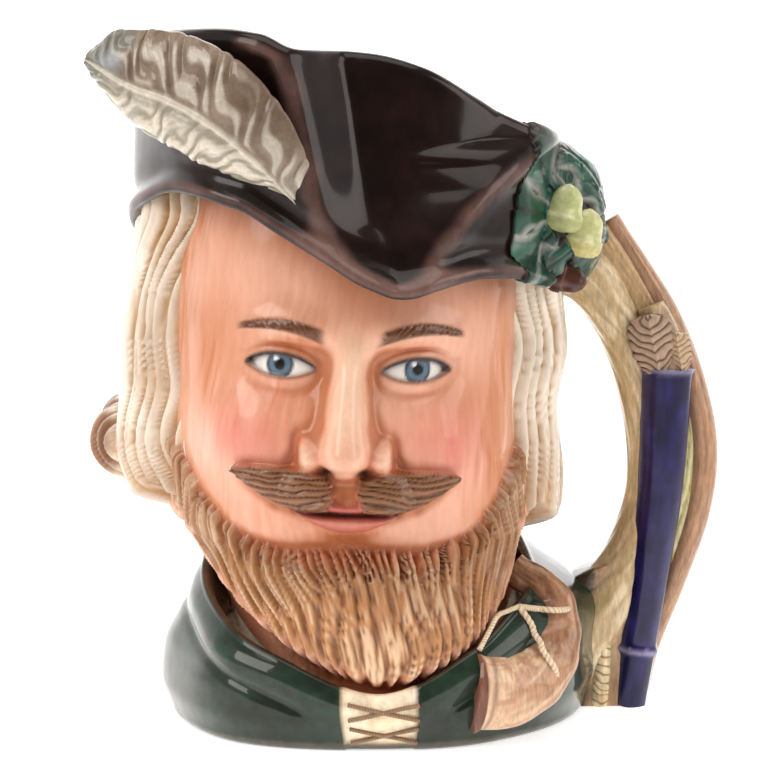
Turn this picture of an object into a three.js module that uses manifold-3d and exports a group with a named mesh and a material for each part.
// A glazed earthenware toby jug: a bearded forester's head and shoulders in a feathered hat, slip-cast hollow
// with its mouth in the hat's crown, and a handle made of a branch, a quiver and a bow.
// Millimetres, +Z up. The face looks along -Y and the handle is on the +X side.
// The origin is the middle of the flat underside.
import * as THREE from "three";
import { mergeVertices } from "three/addons/utils/BufferGeometryUtils.js";
import Module from "manifold-3d";

const wasm = await Module();
wasm.setup();

// Sizes that can each be set alone
const FIGURE_H = 190; // table to the top of the hat's left flap
const WALL = 4.5; // the cast wall
const FLOOR = 6; // the jug's floor
const FOOT_BEVEL = 2.5; // height of the rounded edge round the underside
const HANDLE_THICK = 15; // the handle's web, front to back
const BRANCH_R = 7.5; // the branch at the middle of the handle
const BOW_R = 4.2; // the bow's limb
const QUIVER_TOP_R = 7.4;
const QUIVER_FOOT_R = 4.9;
const QUIVER_RING = 0.8; // how far the quiver's seam ring stands out
const FEATHER_THICK = 4.5;
const LEAF_THICK = 2.6;
const ACORN_R = 5.2;
const HORN_BELL_R = 10;
const HORN_TIP_R = 4.2;
const LACE_R = 1.3; // the laces over the tunic's opening

// The figure's pose and carving are drawn on a figure 190 units tall, so one unit is a 190th of its height.
const DRAWN_H = 190;
const unit = FIGURE_H / DRAWN_H;

const COLUMNS = 52; // round the outside
const CROWDING = 0.52; // how far the columns crowd together over the face
const SHORTEST_EDGE = 0.02; // what the joins leave shorter is merged away
const INNER_COLUMNS = 32;
const INNER_ROWS = 19;

const radians = THREE.MathUtils.degToRad;
const { lerp, clamp, smoothstep } = THREE.MathUtils;
const bell = (x, width) => Math.exp(-((x / width) ** 2));

// The larger of two radii, with the corner between them rounded over `blend`
function blendMax(a, b, blend) {
  const h = Math.max(blend - Math.abs(a - b), 0) / blend;
  return Math.max(a, b) + (h * h * blend) / 4;
}

// A smooth curve through stations [x, y], level at its ends
function through(stations, x) {
  const last = stations.length - 1;
  if (x <= stations[0][0]) return stations[0][1];
  if (x >= stations[last][0]) return stations[last][1];
  const i = stations.findIndex((s) => s[0] > x) - 1;
  const slope = (j) => {
    if (j <= 0 || j >= last) return 0;
    const before = (stations[j][1] - stations[j - 1][1]) / (stations[j][0] - stations[j - 1][0]);
    const after = (stations[j + 1][1] - stations[j][1]) / (stations[j + 1][0] - stations[j][0]);
    return before * after <= 0 ? 0 : (2 * before * after) / (before + after);
  };
  const span = stations[i + 1][0] - stations[i][0];
  const t = (x - stations[i][0]) / span;
  const t2 = t * t;
  const t3 = t2 * t;
  return (
    (2 * t3 - 3 * t2 + 1) * stations[i][1] +
    (t3 - 2 * t2 + t) * span * slope(i) +
    (3 * t2 - 2 * t3) * stations[i + 1][1] +
    (t3 - t2) * span * slope(i + 1)
  );
}

// The same round the jug, by angle in degrees from the face's middle, positive towards the handle
function around(stations, angle) {
  const turn = (s, by) => s.map(([a, v]) => [a + by, v]);
  const wrapped = THREE.MathUtils.euclideanModulo(angle + 180, 360) - 180;
  return through([...turn(stations, -360), ...stations, ...turn(stations, 360)], wrapped);
}

// The lines that part the figure's layers, as heights by angle
const collarLine = (a) =>
  around(
    [[-130, 52], [-80, 44], [-50, 35], [-25, 25.5], [0, 16], [25, 27], [45, 37], [75, 45], [130, 52]],
    a,
  );
const brimLine = (a) =>
  around(
    [[-150, 122], [-95, 131], [-66, 142], [-45, 147], [-27, 144], [-16, 137.5], [-5, 130.5], [4, 124.5],
      [12, 121.5], [20, 123.5], [32, 125.5], [53, 123], [85, 117], [130, 118]],
    a,
  );
const topLine = (a) =>
  around(
    [[-160, 174], [-120, 180], [-90, 184], [-60, 188], [-32, 190], [-22, 189], [-13, 185], [8, 183],
      [22, 179.5], [38, 171.5], [55, 163], [90, 155], [130, 158], [170, 170]],
    a,
  );
const hairTipLine = (a) =>
  around([[-150, 52], [-115, 55], [-75, 58], [-60, 64], [60, 57], [75, 51.5], [110, 51], [150, 52]], a);

// How far the figure's middle leans off the base's, by height
const leanX = (z) => through([[0, -1], [20, -1.5], [44, -6], [60, -9], [90, -10.5], [130, -9], [190, -8]], z);
const leanY = (z) => through([[0, 0], [40, -1], [90, -2], [190, -1]], z);

// An oval with its own reach to the front, back and sides
function oval(a, front, back, left, right) {
  const squareness = 2.25;
  const c = Math.cos(radians(a));
  const s = Math.sin(radians(a));
  const deep = Math.abs(c) / (c > 0 ? front : back);
  const wide = Math.abs(s) / (s > 0 ? right : left);
  return (deep ** squareness + wide ** squareness) ** (-1 / squareness);
}

function tunicForm(a, z) {
  const left = through([[0, 57.5], [10, 60], [20, 58.5], [32, 51], [46, 42], [60, 38]], z);
  const right = through([[0, 57], [12, 60], [24, 60], [34, 57], [46, 45], [60, 38]], z);
  const front = through([[0, 58.5], [10, 62], [20, 61.5], [32, 58], [46, 50], [60, 44]], z);
  const back = through([[0, 56], [10, 59], [24, 58], [46, 50], [60, 44]], z);
  const lapel = 2.2 * bell(z - collarLine(a) + 5, 5);
  const placket = 1.2 * smoothstep(9 - Math.abs(a), -2, 2) * smoothstep(z, 0, 4);
  const shoulder = 4 * bell(a - 88, 17) * bell(z - 32, 7);
  const breast = (2.5 * bell(a + 38, 24) - 3 * bell(a - 48, 24)) * bell(z, 26);
  return oval(a, front, back, left, right) + lapel - placket + shoulder + breast;
}

function headForm(a, z) {
  const side = through([[10, 42], [30, 40], [45, 43], [60, 47], [80, 48], [130, 48], [170, 46]], z);
  const front = through([[10, 54.5], [30, 53], [45, 54], [60, 57], [100, 57.5], [125, 57], [170, 50]], z);
  const back = through([[10, 46], [60, 50], [130, 54], [170, 50]], z);
  return oval(a, front, back, side, side);
}

// The face on the head: u is across from its middle and v is up from the base of the nose
const FACE = { base: 76, tilt: 2.5, brow: 35, eye: 26, eyeOut: 18.5, mouth: -12, chin: -36 };
function faceRelief(a, z) {
  const across = 56 * radians(a);
  const turn = radians(FACE.tilt);
  const u = across * Math.cos(turn) - (z - FACE.base) * Math.sin(turn);
  const v = across * Math.sin(turn) + (z - FACE.base) * Math.cos(turn);
  const out = Math.abs(u);
  const noseRun = smoothstep(-v, -FACE.eye - 6, -6);
  const noseHigh = lerp(1.5, 15, noseRun) * smoothstep(v, -4, 3) * smoothstep(-v, -FACE.brow - 4, -FACE.eye);
  const noseWide = lerp(5.5, 7.5, noseRun);
  return (
    noseHigh * bell(out, noseWide) +
    5.5 * bell(out - 8.5, 4) * bell(v - 4, 4.5) +
    3 * bell(out - 15, 14) * bell(v - FACE.brow, 5) -
    6.5 * bell(out - 15, 10) * bell(v - FACE.eye + 1, 7) +
    4 * bell(out - FACE.eyeOut, 7.5) * bell(v - FACE.eye + 1, 5) +
    3.5 * bell(out - 27, 12) * bell(v - 6, 12) +
    4 * bell(u, 15) * bell(v + 9, 9) +
    2.2 * bell(u, 13) * bell(v - FACE.mouth + 4.5, 3) -
    2 * bell(u, 12) * bell(v - FACE.mouth + 10, 3.5) +
    moustache(out, v)
  );
}

// One lobe either side of a bare gap, thick in the middle and thin at its outer tip
function moustache(out, v) {
  const along = (out - 2.5) / 25;
  if (along < 0 || along > 1) return 0;
  const middle = -5.5 - 3 * along + 4.5 * along * along;
  const half = 4.4 * Math.sin(Math.PI * Math.min(along * 0.7 + 0.25, 1));
  return 4.4 * smoothstep(along, 0, 0.16) * bell(v - middle, Math.max(half, 1));
}

// The beard, thick under the chin and running up the jaw to the sideburns, in hanging tufts
function beardForm(a, z) {
  const reach = Math.abs(a - 2);
  const upper = through([[0, 51], [14, 52], [28, 58], [42, 74], [52, 92], [60, 100]], reach);
  const lower = through([[0, 17.5], [12, 20.5], [28, 28], [50, 41], [64, 52]], reach);
  const inside = Math.min(z - lower, upper - z);
  const front = through([[12, 57], [20, 62], [32, 65], [46, 64], [56, 60], [70, 58], [100, 56]], z);
  const side = through([[12, 42], [46, 46], [60, 50], [80, 51], [100, 50]], z);
  const tufts = 1.2 * Math.cos(radians(a) * 25 + 1.4 * Math.sin(z / 7));
  return oval(a, front, front, side, side) + tufts - 7 * (1 - smoothstep(inside, -2, 4));
}

// Wavy locks, each a rounded rope with a sharp valley to the next
function locks(a, z) {
  const wave = 5 * Math.sin(z / 13 + a / 40) + 2 * Math.sin(z / 6.5);
  const rope = Math.abs(Math.sin(radians((a + wave) * 7.5)));
  return 3.6 * (rope - 0.6);
}

function hairForm(a, z) {
  const left = through([[50, 55.5], [58, 59], [72, 62.5], [90, 61.5], [110, 60.5], [130, 58.5]], z);
  const right = through([[44, 46], [50, 53], [58, 57], [68, 57], [84, 56], [100, 57.5], [118, 57]], z);
  const back = through([[50, 55], [62, 62], [90, 61], [120, 58]], z);
  const curl = 14 * bell(a + 112, 17) * bell(z - 70, 12);
  const parting = Math.min(a - 58, 300 - a);
  const edge = a < 0 ? Math.min(-57 - a, 360) : parting;
  const free = Math.min(edge * 0.9, z - hairTipLine(a));
  return oval(a, 50, back, left, right) + curl + locks(a, z) - 12 * (1 - smoothstep(free, -3, 5));
}

// The hat: a brim turned up into two flaps that meet in a low peak at the front, and the crown between them
const ridgeLeft = (z) =>
  through([[121, 10], [131, 2], [140, -4], [152, -7], [172, -11], [183, -14], [190, -22]], z);
const ridgeRight = (z) =>
  through([[121, 13], [131, 17.5], [137, 21], [149, 32], [155, 42], [161, 58], [175, 80]], z);
function hatForm(a, z) {
  const high = z - brimLine(a);
  const flap = oval(a, through([[120, 67], [135, 64], [190, 64]], z), 60, 60, 57);
  const crown = oval(a, through([[122, 65], [140, 59], [160, 53], [185, 50]], z), 60, 58, 55);
  const aside = (line, way) => (way * (a - line(z))) / Math.hypot(1, (line(z + 1) - line(z - 1)) / 2);
  const inValley = Math.min(aside(ridgeLeft, 1), aside(ridgeRight, -1));
  const mix = smoothstep(inValley, -2, 11);
  const ridge = 2 * bell(inValley + 2, 5);
  const roll = 1.4 * bell(high - 2, 2.2);
  return lerp(flap, crown, mix) + ridge + roll - 1.2 * bell(high - 7, 3);
}

// The whole outside, as a radius from the leaning middle
function outside(a, z) {
  const steep = 5;
  const tunic = tunicForm(a, z) - steep * Math.max(0, z - collarLine(a));
  const head = headForm(a, z) + faceRelief(a, z);
  const hair = hairForm(a, z);
  const beard = beardForm(a, z);
  const hat = hatForm(a, z) - steep * Math.max(0, brimLine(a) - z);
  const skin = blendMax(blendMax(head, beard, 1.5), hair, 1);
  return blendMax(blendMax(skin, tunic, 0.6), hat, 0.6);
}

// A point in real millimetres from an angle, a radius and a height in drawn units
function place(a, radius, z) {
  const s = Math.sin(radians(a));
  const c = Math.cos(radians(a));
  return [unit * (leanX(z) + radius * s), unit * (leanY(z) - radius * c), unit * z];
}

// A point standing off the outside, for what is laid on it
function onSurface(a, z, off = 0) {
  return new THREE.Vector3(...place(a, outside(a, z) + off / unit, z));
}

// A lathe's closed grid, its two ends on the axis, with every point put where `put(row, column)` says
function grid(rows, columns, put) {
  const profile = [];
  for (let j = 0; j <= rows; j++) {
    const t = (Math.PI * j) / rows;
    profile.push(new THREE.Vector2(Math.sin(t), -Math.cos(t)));
  }
  const geometry = new THREE.LatheGeometry(profile, columns);
  const position = geometry.attributes.position;
  for (let i = 0; i <= columns; i++)
    for (let j = 0; j <= rows; j++) position.setXYZ(i * (rows + 1) + j, ...put(j, i % columns));
  return geometry;
}

// The same surface with corners nearer than `gap` merged and the triangles that this flattens left out
function welded(position, index, gap) {
  const bare = new THREE.BufferGeometry().setAttribute("position", position);
  bare.setIndex(index);
  const merged = mergeVertices(bare, gap);
  const corners = merged.index.array;
  const kept = [];
  for (let i = 0; i < corners.length; i += 3) {
    const [p, q, r] = [corners[i], corners[i + 1], corners[i + 2]];
    if (p !== q && q !== r && r !== p) kept.push(p, q, r);
  }
  return merged.setIndex(new THREE.BufferAttribute(new Uint32Array(kept), 1));
}

function solid(geometry) {
  const shell = welded(geometry.attributes.position, geometry.index, 1e-4);
  return new wasm.Manifold(
    new wasm.Mesh({
      numProp: 3,
      vertProperties: shell.attributes.position.array,
      triVerts: shell.index.array,
    }),
  );
}

// Columns crowd together over the face and open out round the back
function columnAngle(i, columns, crowding) {
  const t = (2 * i) / columns - 1;
  return 180 * (crowding * t ** 3 + (1 - crowding) * t);
}

// Where a ridge of the hat crosses the row at share t from the brim to the top edge
function ridgeAt(line, t) {
  let a = line(DRAWN_H * 0.75);
  for (let i = 0; i < 20; i++) a = lerp(a, line(lerp(brimLine(a), topLine(a), t)), 0.5);
  return a;
}

// Columns over the hat swing round so that one of them runs along each of its two ridges
function hatColumn(a, t) {
  const own = [-3, 10].map((i) => columnAngle(COLUMNS / 2 + i, COLUMNS, CROWDING));
  const swing = smoothstep(t, 0, 0.3);
  const [left, right] = [ridgeLeft, ridgeRight].map((line, i) => lerp(own[i], ridgeAt(line, t), swing));
  if (a < own[0]) return lerp(-180, left, (a + 180) / (own[0] + 180));
  if (a > own[1]) return lerp(right, 180, (a - own[1]) / (180 - own[1]));
  return lerp(left, right, (a - own[0]) / (own[1] - own[0]));
}

// The figure as one block, its rows following the collar, the brim and the hat's top edge
function figure() {
  const rows = [];
  const bevel = FOOT_BEVEL / unit;
  rows.push(() => [0, 0]);
  rows.push((a) => [outside(a, bevel) - bevel, 0]);
  // The rows of a layer follow its two edges, and level out between them by `levelling`
  const layer = (shares, low, high, levelling, column) =>
    shares.forEach((t) =>
      rows.push((own) => {
        const a = column ? column(own, t) : own;
        const level = lerp(low(0), high(0) + 6, t);
        const z = lerp(lerp(low(a), high(a), t), level, levelling * (4 * t * (1 - t)) ** 2);
        return [outside(a, z), z, a];
      }),
    );
  const even = (n) => Array.from({ length: n - 1 }, (_, i) => (i + 1) / n);
  layer([0, ...even(6), 1], () => bevel, (a) => collarLine(a), 0);
  layer([0, ...even(22), 1], (a) => collarLine(a) + 1.5, (a) => brimLine(a) - 1.5, 0.6);
  layer([0, 0.08, ...even(8), 1], (a) => brimLine(a), (a) => topLine(a) - 2, 0, hatColumn);
  // Over the flap's edge, down behind it and across the crown
  const flapHigh = (a) => 7 * smoothstep(-a, 12, 30) * smoothstep(a, -170, -140);
  for (const [inward, down] of [[1.5, 0], [4.5, 0.3], [8, 1]])
    rows.push((own) => {
      const a = hatColumn(own, 1);
      return [outside(a, topLine(a) - 2) - inward, topLine(a) - down * flapHigh(a), a];
    });
  rows.push(() => [0, 165]);
  return grid(rows.length - 1, COLUMNS, (j, i) => {
    const own = columnAngle(i, COLUMNS, CROWDING);
    const [radius, z, a = own] = rows[j](own);
    return place(a, radius, z);
  });
}

// The inside of the cast wall: the outside shrunk by the wall's thickness every way, so its relief rounds off
function inside(a, z) {
  const wall = WALL / unit;
  const reach = 1.9 * wall;
  let radius = Infinity;
  for (let i = -3; i <= 3; i++)
    for (let j = -6; j <= 6; j++) {
      const across = (i / 3) * reach;
      const up = (j / 6) * reach;
      const deep = wall * Math.sqrt(Math.max(0, 1 - (i / 3) ** 2 - (j / 6) ** 2));
      const turned = a + THREE.MathUtils.radToDeg(across / 55);
      const height = clamp(z + up, FOOT_BEVEL / unit, topLine(turned) - 2);
      radius = Math.min(radius, outside(turned, height) - deep);
    }
  return radius;
}

// The hollow, open through the crown. The mouth narrows to the crown's own width, with a lip round it.
function hollow() {
  const floor = FLOOR / unit;
  const above = 12;
  const mouth = (a) => oval(a, 50, 52, 50, 48) - WALL / unit;
  return grid(INNER_ROWS, INNER_COLUMNS, (j, i) => {
    const a = columnAngle(i, INNER_COLUMNS, 0.3);
    const top = topLine(a);
    if (j === 0) return place(a, 0, floor);
    if (j === 1) return place(a, inside(a, floor + 4) - 6, floor);
    if (j === INNER_ROWS) return place(a, 0, DRAWN_H + above);
    const t = (j - 2) / (INNER_ROWS - 4);
    const z = lerp(floor + 4, top - 3, Math.min(t, 1));
    const crown = smoothstep(z, brimLine(a) - 12, brimLine(a) + 14);
    const wall = inside(a, z);
    const radius = lerp(wall, Math.min(wall, mouth(a)), crown);
    return j === INNER_ROWS - 1 ? place(a, radius + 2, DRAWN_H + above) : place(a, radius, z);
  });
}

// A closed cylinder bent along a curve. `across` is the direction its section's first radius lies in, and
// `radii(t)` gives its two radii at a share t of its length.
function limb(curve, steps, sides, across, radii) {
  const geometry = new THREE.CylinderGeometry(1, 1, 1, sides, steps);
  const position = geometry.attributes.position;
  const point = new THREE.Vector3();
  for (let i = 0; i < position.count; i++) {
    point.fromBufferAttribute(position, i);
    const t = clamp(point.y + 0.5, 0, 1);
    const tangent = curve.getTangent(t);
    const first = across.clone().addScaledVector(tangent, -across.dot(tangent)).normalize();
    const second = new THREE.Vector3().crossVectors(first, tangent);
    const [r1, r2] = radii(t);
    const at = curve.getPoint(t).addScaledVector(first, point.x * r1).addScaledVector(second, point.z * r2);
    position.setXYZ(i, at.x, at.y, at.z);
  }
  return geometry;
}

// A curve through points given in drawn units
const inUnits = (points) => points.map((p) => new THREE.Vector3(...p).multiplyScalar(unit));
const drawn = (points) => new THREE.CatmullRomCurve3(inUnits(points));
const FRONT = new THREE.Vector3(0, -1, 0);
const UP = new THREE.Vector3(0, 0, 1);

// The branch springs from under the hat and comes down to the shoulder, thick at both ends
function branch() {
  const curve = drawn([
    [38, 0, 126], [55, 0, 121], [65.5, 0, 106], [71.5, 0, 86],
    [74, 0, 64], [70.5, 0, 45], [62.5, 0, 29], [50, 0, 15],
  ]);
  return limb(curve, 12, 10, FRONT, (t) => {
    const ends = Math.abs(2 * t - 0.92);
    return [BRANCH_R * (1 + 0.35 * ends), BRANCH_R * (0.75 + 0.95 * ends ** 2)];
  });
}

// The bow is the handle's outer edge, thin at its tips
function bow() {
  const curve = drawn([
    [62, 0, 135.5], [71.5, 0, 121], [79.5, 0, 107], [85.5, 0, 90], [88.5, 0, 72],
    [86.5, 0, 54], [80.5, 0, 35], [74.5, 0, 18], [71.5, 0, 4],
  ]);
  return limb(curve, 14, 8, FRONT, (t) => {
    const full = 0.55 + 0.45 * Math.sin(Math.PI * clamp(t, 0.05, 0.95));
    return [BOW_R * 1.35 * full, BOW_R * full];
  });
}

// The plain panel that fills the handle between the branch, the quiver and the bow
function panel() {
  const outline = new THREE.Shape();
  const flat = (points) => points.map(([x, z]) => new THREE.Vector2(unit * x, unit * z));
  const inner = [[68, 48], [70.5, 64], [69.5, 84], [65, 104], [54, 121]];
  const outer = [[61, 135], [76, 112], [84.5, 88], [87, 70], [84, 50], [76.5, 26], [72, 4], [58, 4]];
  outline.moveTo(unit * 52, unit * 28);
  outline.lineTo(unit * 57, unit * 36);
  outline.splineThru(flat(inner));
  outline.splineThru(flat(outer));
  outline.closePath();
  const depth = HANDLE_THICK * 0.6;
  const geometry = new THREE.ExtrudeGeometry(outline, { depth, bevelEnabled: false, curveSegments: 5 });
  return geometry.rotateX(Math.PI / 2).translate(0, depth / 2, 0);
}

// The lower end of the handle, a buttress that joins it to the shoulder down to the table
function buttress() {
  const outline = new THREE.Shape();
  [[40, 0], [73, 0], [74, 20], [72, 34], [65, 40.5], [54, 39.5], [40, 40]].forEach(([x, z], i) =>
    i ? outline.lineTo(unit * x, unit * z) : outline.moveTo(unit * x, unit * z),
  );
  const bevel = 2;
  const geometry = new THREE.ExtrudeGeometry(outline, {
    depth: HANDLE_THICK - 2 * bevel,
    bevelThickness: bevel,
    bevelSize: bevel,
    bevelOffset: -bevel,
    bevelSegments: 1,
  });
  return geometry.rotateX(Math.PI / 2).translate(0, HANDLE_THICK / 2 - bevel, 0);
}

// The quiver narrows towards its foot, with one seam ring low down
function quiver() {
  const curve = drawn([[77.5, -4, 95], [76, -4, 62], [72, -4, 30], [68, -3, 0]]);
  const ringAt = 0.82;
  return limb(curve, 12, 12, FRONT, (t) => {
    const r = lerp(QUIVER_TOP_R, QUIVER_FOOT_R, t) + QUIVER_RING * bell(t - ringAt, 0.04);
    return [r * 1.1, r];
  });
}

// The arrows' flights, standing out of the quiver
function flights() {
  const curve = drawn([[78.5, -4, 92], [76.5, -4, 103], [73, -4, 112]]);
  return limb(curve, 4, 8, FRONT, (t) => [QUIVER_TOP_R * (1 - 0.3 * t), QUIVER_TOP_R * 0.8 * (1 - 0.35 * t)]);
}

// A box's grid bent into a blade: s runs across it and t along it, and `side` is 1 on its face and -1 on its
// back
function blade(across, along, put) {
  const geometry = new THREE.BoxGeometry(2, 1, 2, across, along, 1);
  const position = geometry.attributes.position;
  for (let i = 0; i < position.count; i++) {
    const at = put(position.getX(i), position.getY(i) + 0.5, position.getZ(i));
    position.setXYZ(i, at.x, at.y, at.z);
  }
  return geometry;
}

// The hat's feather: its quill end is tucked by the left ridge and its tip stands clear of the hat
function feather() {
  const quill = drawn([
    [-20, -62, 144.5], [-30, -66, 155], [-42, -64, 165],
    [-54, -57, 171.3], [-66, -49, 175.3], [-77, -43, 181.5],
  ]);
  const widths = [
    [0, 1.5], [0.15, 7], [0.3, 12], [0.5, 14.5], [0.7, 13.5], [0.88, 10], [0.97, 6.5], [1, 2.5],
  ];
  const halfWide = (t, s) => unit * through(widths, t) * (s > 0 ? 1.22 : 0.95);
  const facing = new THREE.Vector3(-0.55, -0.8, -0.12).normalize();
  return blade(4, 14, (s, t, side) => {
    const tangent = quill.getTangent(t);
    const over = new THREE.Vector3().crossVectors(tangent, facing).normalize();
    const curl = unit * 3 * s * s;
    const rib = 1.2 * bell(s, 0.3);
    const thick = FEATHER_THICK / 2;
    const out = side > 0 ? thick * (1 - 0.5 * s * s) + rib - curl : -thick - curl;
    return quill.getPoint(t).addScaledVector(over, s * halfWide(t, s)).addScaledVector(facing, out);
  });
}

// An acorn in its cup, lying on the leaves
function acorn(at, tilt) {
  const profile = [
    [0, -1.05], [0.75, -0.95], [1.12, -0.5], [1.12, -0.1], [0.95, 0], [0.85, 0.7], [0.4, 1.35], [0, 1.5],
  ].map(([r, h]) => new THREE.Vector2(r * ACORN_R, h * ACORN_R));
  const geometry = new THREE.LatheGeometry(profile, 10);
  return geometry.rotateX(Math.PI / 2).rotateY(radians(tilt)).translate(at.x, at.y, at.z);
}

// The spray of oak covers the end of the right flap, which swells into a knob under it. Each leaf starts
// where its turn and rise point from the knob's middle, and runs along a heading in degrees from straight up.
const KNOB = { x: 42.5, y: -12, z: 137.3, r: 16.5, stretch: [1, 1.35, 1.25] };
const LEAVES = [
  [14, 19, 42, 25], [70, 5, 20, 25], [9, -2, 130, 24], [27, -15, 130, 17], [55, 2, 172, 20],
  [5, 8, 82, 21], [115, 25, 60, 20], [100, -10, 150, 19], [150, 5, 110, 20],
  [90, 72, 100, 19], [175, 40, -60, 20], [160, -25, 150, 18], [-150, 30, 60, 20],
];
function towards(turn, rise) {
  const t = radians(turn);
  const e = radians(rise);
  return new THREE.Vector3(Math.sin(t) * Math.cos(e), -Math.cos(t) * Math.cos(e), Math.sin(e));
}

// How far a leaf stands up in a direction, as a share of its thickness: most at its midrib and nothing past
// its lobes
function leafShare(direction, [turn, rise, heading, length]) {
  const stem = towards(turn, rise);
  const up = new THREE.Vector3(0, 0, 1).addScaledVector(stem, -stem.z).normalize();
  const aside = new THREE.Vector3().crossVectors(up, stem);
  const swung = radians(heading);
  const along = up.multiplyScalar(Math.cos(swung)).addScaledVector(aside, -Math.sin(swung));
  const over = new THREE.Vector3().crossVectors(along, stem);
  const reach = 1.15 * KNOB.r;
  const t = (reach * Math.atan2(direction.dot(along), direction.dot(stem))) / length;
  if (t < 0 || t > 1) return 0;
  const lobe = 0.8 + 0.2 * Math.cos(t * Math.PI * 5);
  const half = length * 0.4 * Math.sin(Math.PI * (0.1 + 0.85 * t)) * lobe;
  const s = Math.abs(reach * Math.asin(direction.dot(over))) / half;
  return (1 - 0.4 * s) * (1 - smoothstep(s, 0.8, 1.2));
}

function oakSpray() {
  const middle = new THREE.Vector3(KNOB.x, KNOB.y, KNOB.z).multiplyScalar(unit);
  const [rows, columns] = [16, 28];
  const onSpray = (direction, off) => {
    const reach = new THREE.Vector3(...KNOB.stretch).multiply(direction).multiplyScalar(unit * KNOB.r);
    return middle.clone().add(reach).addScaledVector(direction, off);
  };
  const knob = grid(rows, columns, (j, i) => {
    const direction = towards((360 * i) / columns, (180 * j) / rows - 90);
    const standing = Math.max(...LEAVES.map((leaf) => leafShare(direction, leaf)));
    return onSpray(direction, LEAF_THICK * standing).toArray();
  });
  const nuts = [[18, 10, 12], [38, -9, 15], [29, -46, 105]].map(([turn, rise, tilt]) =>
    acorn(onSpray(towards(turn, rise), 1.5), tilt),
  );
  return [knob, ...nuts];
}

// The hunting horn hangs at the breast on the handle's side, its bell towards the lacing
const HORN_PATH = [[24, 15.5], [34, 15], [44, 19.5], [51.5, 28], [55.5, 37], [54, 44]];
function horn() {
  const curve = new THREE.CatmullRomCurve3(HORN_PATH.map(([a, z]) => onSurface(a, z)));
  const radius = (t) => lerp(HORN_BELL_R, HORN_TIP_R, smoothstep(t, 0.1, 1.1));
  return limb(curve, 10, 12, FRONT, (t) => [radius(t) * 0.6, radius(t)]);
}

// The two laces crossed over the tunic's opening
function laces() {
  const crossed = [];
  for (const z of [4.5, 11.5])
    for (const way of [-1, 1]) {
      const points = [-1, -0.5, 0, 0.5, 1].map((s) => onSurface(1 + 8.5 * s, z + 2.2 * s * way, 0));
      const curve = new THREE.CatmullRomCurve3(points);
      crossed.push(limb(curve, 4, 5, UP, () => [LACE_R, LACE_R]));
    }
  return crossed;
}

// The fired jug is one piece: all of it is joined, then what reaches under the table and the hollow are cut
// out
function firedJug() {
  const handle = [branch(), bow(), panel(), buttress(), quiver(), flights()];
  const dress = [feather(), ...oakSpray(), horn(), ...laces()];
  const parts = [figure(), ...handle, ...dress];
  const joined = parts.map(solid).reduce((all, one) => all.add(one));
  const wide = 3 * FIGURE_H;
  const underTable = new THREE.BoxGeometry(wide, wide, FIGURE_H).translate(0, 0, -FIGURE_H / 2);
  return joined.subtract(solid(underTable)).subtract(solid(hollow()));
}

function meshOf(name, manifold, material) {
  const { vertProperties, triVerts } = manifold.simplify(SHORTEST_EDGE).getMesh();
  const position = new THREE.BufferAttribute(vertProperties, 3);
  const geometry = new THREE.BufferGeometry().setAttribute("position", position);
  geometry.setIndex(new THREE.BufferAttribute(triVerts, 1));
  geometry.computeVertexNormals();
  const mesh = new THREE.Mesh(geometry, material);
  mesh.name = name;
  return mesh;
}

const glaze = new THREE.MeshStandardMaterial({ color: 0x8a6650, roughness: 0.15, metalness: 0 });

const jug = new THREE.Group();
jug.add(meshOf("jug", firedJug(), glaze));

export default jug;
